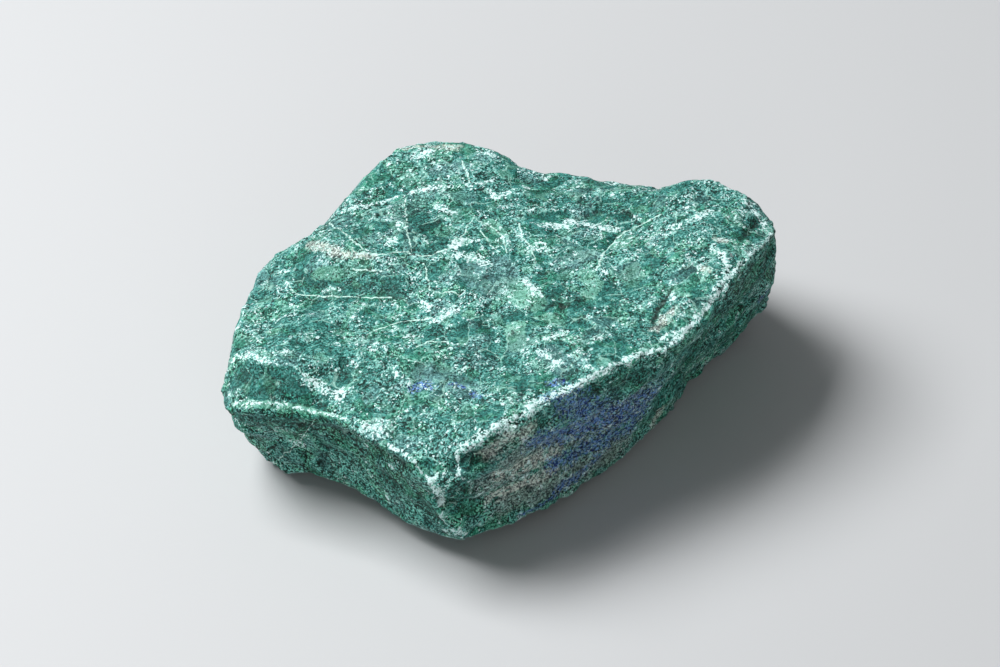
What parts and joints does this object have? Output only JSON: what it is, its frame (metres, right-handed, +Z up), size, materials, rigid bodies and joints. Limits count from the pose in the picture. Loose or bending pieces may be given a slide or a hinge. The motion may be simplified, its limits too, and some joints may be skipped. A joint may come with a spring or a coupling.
{
  "type": "azurite-malachite specimen",
  "caption": "Rough hand piece of massive green malachite with small azurite patches, a low broken slab that lies on a flat spot under it.",
  "frame": {"origin": "on the ground under the middle of the stone's box", "axes": "+X to the stone's high right end, +Y away from its front corner, +Z up"},
  "size_m": [0.078, 0.076, 0.0275],
  "materials": {
    "stone": "rough, broken, with a soft sheen on the smoother facets"
  },
  "bodies": {
    "root": {"stone": "stone"}
  },
  "joints": []
}
